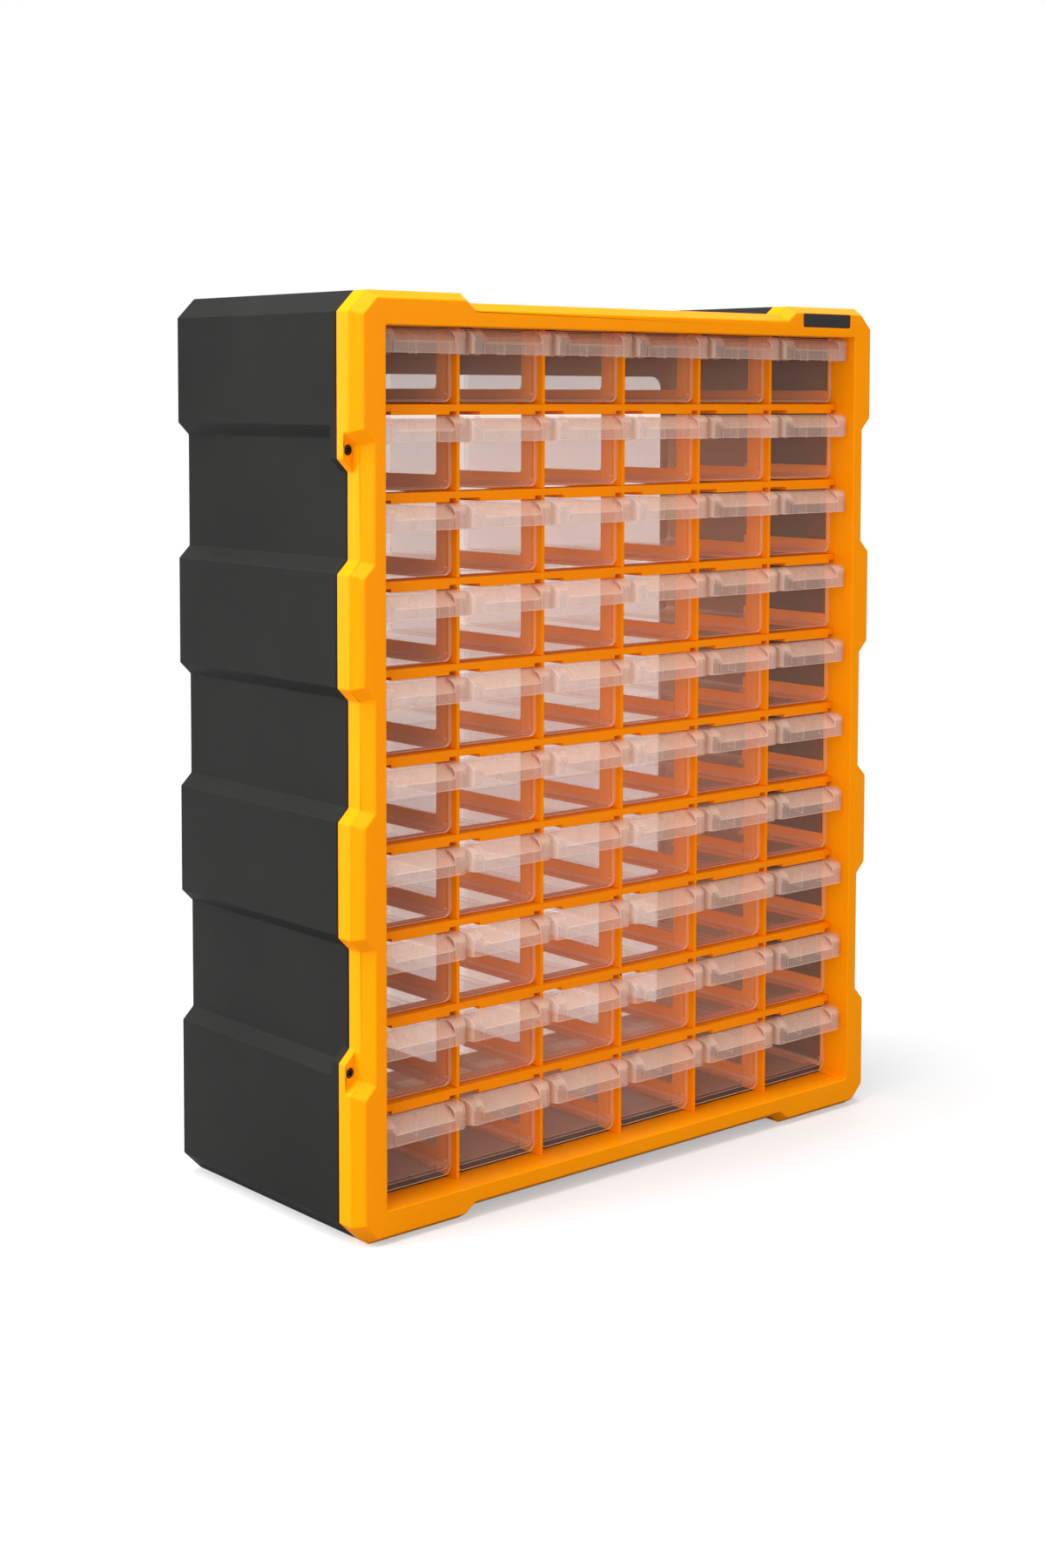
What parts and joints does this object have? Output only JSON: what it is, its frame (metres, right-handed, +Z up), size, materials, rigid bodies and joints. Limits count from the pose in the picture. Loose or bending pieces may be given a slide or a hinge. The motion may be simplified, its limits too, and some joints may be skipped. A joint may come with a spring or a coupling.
{
  "type": "parts bin cabinet",
  "caption": "Upright storage cabinet with rows of small clear pull-out drawers in a dark banded casing and an amber front frame.",
  "frame": {"origin": "centre of the footprint, at the level of the feet", "axes": "+Z up, the front with the drawers faces -Y, +X is to the right as seen from the front"},
  "size_m": [0.38, 0.16, 0.475],
  "materials": {
    "casing": "fine moulded texture",
    "frame": "satin",
    "rack": "satin",
    "plate": "gloss",
    "screws": "black",
    "drawers": "clear moulded"
  },
  "bodies": {
    "cabinet": {"casing": "casing", "front_frame": "frame", "drawer_rack": "rack", "nameplate": "plate", "frame_screws": "screws"},
    "drawer_r01_c1": {"drawer_r01_c1": "drawers"},
    "drawer_r01_c2": {"drawer_r01_c2": "drawers"},
    "drawer_r01_c3": {"drawer_r01_c3": "drawers"},
    "drawer_r01_c4": {"drawer_r01_c4": "drawers"},
    "drawer_r01_c5": {"drawer_r01_c5": "drawers"},
    "drawer_r01_c6": {"drawer_r01_c6": "drawers"},
    "drawer_r02_c1": {"drawer_r02_c1": "drawers"},
    "drawer_r02_c2": {"drawer_r02_c2": "drawers"},
    "drawer_r02_c3": {"drawer_r02_c3": "drawers"},
    "drawer_r02_c4": {"drawer_r02_c4": "drawers"},
    "drawer_r02_c5": {"drawer_r02_c5": "drawers"},
    "drawer_r02_c6": {"drawer_r02_c6": "drawers"},
    "drawer_r03_c1": {"drawer_r03_c1": "drawers"},
    "drawer_r03_c2": {"drawer_r03_c2": "drawers"},
    "drawer_r03_c3": {"drawer_r03_c3": "drawers"},
    "drawer_r03_c4": {"drawer_r03_c4": "drawers"},
    "drawer_r03_c5": {"drawer_r03_c5": "drawers"},
    "drawer_r03_c6": {"drawer_r03_c6": "drawers"},
    "drawer_r04_c1": {"drawer_r04_c1": "drawers"},
    "drawer_r04_c2": {"drawer_r04_c2": "drawers"},
    "drawer_r04_c3": {"drawer_r04_c3": "drawers"},
    "drawer_r04_c4": {"drawer_r04_c4": "drawers"},
    "drawer_r04_c5": {"drawer_r04_c5": "drawers"},
    "drawer_r04_c6": {"drawer_r04_c6": "drawers"},
    "drawer_r05_c1": {"drawer_r05_c1": "drawers"},
    "drawer_r05_c2": {"drawer_r05_c2": "drawers"},
    "drawer_r05_c3": {"drawer_r05_c3": "drawers"},
    "drawer_r05_c4": {"drawer_r05_c4": "drawers"},
    "drawer_r05_c5": {"drawer_r05_c5": "drawers"},
    "drawer_r05_c6": {"drawer_r05_c6": "drawers"},
    "drawer_r06_c1": {"drawer_r06_c1": "drawers"},
    "drawer_r06_c2": {"drawer_r06_c2": "drawers"},
    "drawer_r06_c3": {"drawer_r06_c3": "drawers"},
    "drawer_r06_c4": {"drawer_r06_c4": "drawers"},
    "drawer_r06_c5": {"drawer_r06_c5": "drawers"},
    "drawer_r06_c6": {"drawer_r06_c6": "drawers"},
    "drawer_r07_c1": {"drawer_r07_c1": "drawers"},
    "drawer_r07_c2": {"drawer_r07_c2": "drawers"},
    "drawer_r07_c3": {"drawer_r07_c3": "drawers"},
    "drawer_r07_c4": {"drawer_r07_c4": "drawers"},
    "drawer_r07_c5": {"drawer_r07_c5": "drawers"},
    "drawer_r07_c6": {"drawer_r07_c6": "drawers"},
    "drawer_r08_c1": {"drawer_r08_c1": "drawers"},
    "drawer_r08_c2": {"drawer_r08_c2": "drawers"},
    "drawer_r08_c3": {"drawer_r08_c3": "drawers"},
    "drawer_r08_c4": {"drawer_r08_c4": "drawers"},
    "drawer_r08_c5": {"drawer_r08_c5": "drawers"},
    "drawer_r08_c6": {"drawer_r08_c6": "drawers"},
    "drawer_r09_c1": {"drawer_r09_c1": "drawers"},
    "drawer_r09_c2": {"drawer_r09_c2": "drawers"},
    "drawer_r09_c3": {"drawer_r09_c3": "drawers"},
    "drawer_r09_c4": {"drawer_r09_c4": "drawers"},
    "drawer_r09_c5": {"drawer_r09_c5": "drawers"},
    "drawer_r09_c6": {"drawer_r09_c6": "drawers"},
    "drawers_r10": {"drawers_r10": "drawers"}
  },
  "joints": [
    {"name": "drawer_r01_c1_slide", "type": "slide", "parent": "cabinet", "child": "drawer_r01_c1", "axis": [0, -1, 0], "range_m": [0, 0.11]},
    {"name": "drawer_r01_c2_slide", "type": "slide", "parent": "cabinet", "child": "drawer_r01_c2", "axis": [0, -1, 0], "range_m": [0, 0.11]},
    {"name": "drawer_r01_c3_slide", "type": "slide", "parent": "cabinet", "child": "drawer_r01_c3", "axis": [0, -1, 0], "range_m": [0, 0.11]},
    {"name": "drawer_r01_c4_slide", "type": "slide", "parent": "cabinet", "child": "drawer_r01_c4", "axis": [0, -1, 0], "range_m": [0, 0.11]},
    {"name": "drawer_r01_c5_slide", "type": "slide", "parent": "cabinet", "child": "drawer_r01_c5", "axis": [0, -1, 0], "range_m": [0, 0.11]},
    {"name": "drawer_r01_c6_slide", "type": "slide", "parent": "cabinet", "child": "drawer_r01_c6", "axis": [0, -1, 0], "range_m": [0, 0.11]},
    {"name": "drawer_r02_c1_slide", "type": "slide", "parent": "cabinet", "child": "drawer_r02_c1", "axis": [0, -1, 0], "range_m": [0, 0.11]},
    {"name": "drawer_r02_c2_slide", "type": "slide", "parent": "cabinet", "child": "drawer_r02_c2", "axis": [0, -1, 0], "range_m": [0, 0.11]},
    {"name": "drawer_r02_c3_slide", "type": "slide", "parent": "cabinet", "child": "drawer_r02_c3", "axis": [0, -1, 0], "range_m": [0, 0.11]},
    {"name": "drawer_r02_c4_slide", "type": "slide", "parent": "cabinet", "child": "drawer_r02_c4", "axis": [0, -1, 0], "range_m": [0, 0.11]},
    {"name": "drawer_r02_c5_slide", "type": "slide", "parent": "cabinet", "child": "drawer_r02_c5", "axis": [0, -1, 0], "range_m": [0, 0.11]},
    {"name": "drawer_r02_c6_slide", "type": "slide", "parent": "cabinet", "child": "drawer_r02_c6", "axis": [0, -1, 0], "range_m": [0, 0.11]},
    {"name": "drawer_r03_c1_slide", "type": "slide", "parent": "cabinet", "child": "drawer_r03_c1", "axis": [0, -1, 0], "range_m": [0, 0.11]},
    {"name": "drawer_r03_c2_slide", "type": "slide", "parent": "cabinet", "child": "drawer_r03_c2", "axis": [0, -1, 0], "range_m": [0, 0.11]},
    {"name": "drawer_r03_c3_slide", "type": "slide", "parent": "cabinet", "child": "drawer_r03_c3", "axis": [0, -1, 0], "range_m": [0, 0.11]},
    {"name": "drawer_r03_c4_slide", "type": "slide", "parent": "cabinet", "child": "drawer_r03_c4", "axis": [0, -1, 0], "range_m": [0, 0.11]},
    {"name": "drawer_r03_c5_slide", "type": "slide", "parent": "cabinet", "child": "drawer_r03_c5", "axis": [0, -1, 0], "range_m": [0, 0.11]},
    {"name": "drawer_r03_c6_slide", "type": "slide", "parent": "cabinet", "child": "drawer_r03_c6", "axis": [0, -1, 0], "range_m": [0, 0.11]},
    {"name": "drawer_r04_c1_slide", "type": "slide", "parent": "cabinet", "child": "drawer_r04_c1", "axis": [0, -1, 0], "range_m": [0, 0.11]},
    {"name": "drawer_r04_c2_slide", "type": "slide", "parent": "cabinet", "child": "drawer_r04_c2", "axis": [0, -1, 0], "range_m": [0, 0.11]},
    {"name": "drawer_r04_c3_slide", "type": "slide", "parent": "cabinet", "child": "drawer_r04_c3", "axis": [0, -1, 0], "range_m": [0, 0.11]},
    {"name": "drawer_r04_c4_slide", "type": "slide", "parent": "cabinet", "child": "drawer_r04_c4", "axis": [0, -1, 0], "range_m": [0, 0.11]},
    {"name": "drawer_r04_c5_slide", "type": "slide", "parent": "cabinet", "child": "drawer_r04_c5", "axis": [0, -1, 0], "range_m": [0, 0.11]},
    {"name": "drawer_r04_c6_slide", "type": "slide", "parent": "cabinet", "child": "drawer_r04_c6", "axis": [0, -1, 0], "range_m": [0, 0.11]},
    {"name": "drawer_r05_c1_slide", "type": "slide", "parent": "cabinet", "child": "drawer_r05_c1", "axis": [0, -1, 0], "range_m": [0, 0.11]},
    {"name": "drawer_r05_c2_slide", "type": "slide", "parent": "cabinet", "child": "drawer_r05_c2", "axis": [0, -1, 0], "range_m": [0, 0.11]},
    {"name": "drawer_r05_c3_slide", "type": "slide", "parent": "cabinet", "child": "drawer_r05_c3", "axis": [0, -1, 0], "range_m": [0, 0.11]},
    {"name": "drawer_r05_c4_slide", "type": "slide", "parent": "cabinet", "child": "drawer_r05_c4", "axis": [0, -1, 0], "range_m": [0, 0.11]},
    {"name": "drawer_r05_c5_slide", "type": "slide", "parent": "cabinet", "child": "drawer_r05_c5", "axis": [0, -1, 0], "range_m": [0, 0.11]},
    {"name": "drawer_r05_c6_slide", "type": "slide", "parent": "cabinet", "child": "drawer_r05_c6", "axis": [0, -1, 0], "range_m": [0, 0.11]},
    {"name": "drawer_r06_c1_slide", "type": "slide", "parent": "cabinet", "child": "drawer_r06_c1", "axis": [0, -1, 0], "range_m": [0, 0.11]},
    {"name": "drawer_r06_c2_slide", "type": "slide", "parent": "cabinet", "child": "drawer_r06_c2", "axis": [0, -1, 0], "range_m": [0, 0.11]},
    {"name": "drawer_r06_c3_slide", "type": "slide", "parent": "cabinet", "child": "drawer_r06_c3", "axis": [0, -1, 0], "range_m": [0, 0.11]},
    {"name": "drawer_r06_c4_slide", "type": "slide", "parent": "cabinet", "child": "drawer_r06_c4", "axis": [0, -1, 0], "range_m": [0, 0.11]},
    {"name": "drawer_r06_c5_slide", "type": "slide", "parent": "cabinet", "child": "drawer_r06_c5", "axis": [0, -1, 0], "range_m": [0, 0.11]},
    {"name": "drawer_r06_c6_slide", "type": "slide", "parent": "cabinet", "child": "drawer_r06_c6", "axis": [0, -1, 0], "range_m": [0, 0.11]},
    {"name": "drawer_r07_c1_slide", "type": "slide", "parent": "cabinet", "child": "drawer_r07_c1", "axis": [0, -1, 0], "range_m": [0, 0.11]},
    {"name": "drawer_r07_c2_slide", "type": "slide", "parent": "cabinet", "child": "drawer_r07_c2", "axis": [0, -1, 0], "range_m": [0, 0.11]},
    {"name": "drawer_r07_c3_slide", "type": "slide", "parent": "cabinet", "child": "drawer_r07_c3", "axis": [0, -1, 0], "range_m": [0, 0.11]},
    {"name": "drawer_r07_c4_slide", "type": "slide", "parent": "cabinet", "child": "drawer_r07_c4", "axis": [0, -1, 0], "range_m": [0, 0.11]},
    {"name": "drawer_r07_c5_slide", "type": "slide", "parent": "cabinet", "child": "drawer_r07_c5", "axis": [0, -1, 0], "range_m": [0, 0.11]},
    {"name": "drawer_r07_c6_slide", "type": "slide", "parent": "cabinet", "child": "drawer_r07_c6", "axis": [0, -1, 0], "range_m": [0, 0.11]},
    {"name": "drawer_r08_c1_slide", "type": "slide", "parent": "cabinet", "child": "drawer_r08_c1", "axis": [0, -1, 0], "range_m": [0, 0.11]},
    {"name": "drawer_r08_c2_slide", "type": "slide", "parent": "cabinet", "child": "drawer_r08_c2", "axis": [0, -1, 0], "range_m": [0, 0.11]},
    {"name": "drawer_r08_c3_slide", "type": "slide", "parent": "cabinet", "child": "drawer_r08_c3", "axis": [0, -1, 0], "range_m": [0, 0.11]},
    {"name": "drawer_r08_c4_slide", "type": "slide", "parent": "cabinet", "child": "drawer_r08_c4", "axis": [0, -1, 0], "range_m": [0, 0.11]},
    {"name": "drawer_r08_c5_slide", "type": "slide", "parent": "cabinet", "child": "drawer_r08_c5", "axis": [0, -1, 0], "range_m": [0, 0.11]},
    {"name": "drawer_r08_c6_slide", "type": "slide", "parent": "cabinet", "child": "drawer_r08_c6", "axis": [0, -1, 0], "range_m": [0, 0.11]},
    {"name": "drawer_r09_c1_slide", "type": "slide", "parent": "cabinet", "child": "drawer_r09_c1", "axis": [0, -1, 0], "range_m": [0, 0.11]},
    {"name": "drawer_r09_c2_slide", "type": "slide", "parent": "cabinet", "child": "drawer_r09_c2", "axis": [0, -1, 0], "range_m": [0, 0.11]},
    {"name": "drawer_r09_c3_slide", "type": "slide", "parent": "cabinet", "child": "drawer_r09_c3", "axis": [0, -1, 0], "range_m": [0, 0.11]},
    {"name": "drawer_r09_c4_slide", "type": "slide", "parent": "cabinet", "child": "drawer_r09_c4", "axis": [0, -1, 0], "range_m": [0, 0.11]},
    {"name": "drawer_r09_c5_slide", "type": "slide", "parent": "cabinet", "child": "drawer_r09_c5", "axis": [0, -1, 0], "range_m": [0, 0.11]},
    {"name": "drawer_r09_c6_slide", "type": "slide", "parent": "cabinet", "child": "drawer_r09_c6", "axis": [0, -1, 0], "range_m": [0, 0.11]},
    {"name": "drawers_r10_slide", "type": "slide", "parent": "cabinet", "child": "drawers_r10", "axis": [0, -1, 0], "range_m": [0, 0.11]}
  ]
}
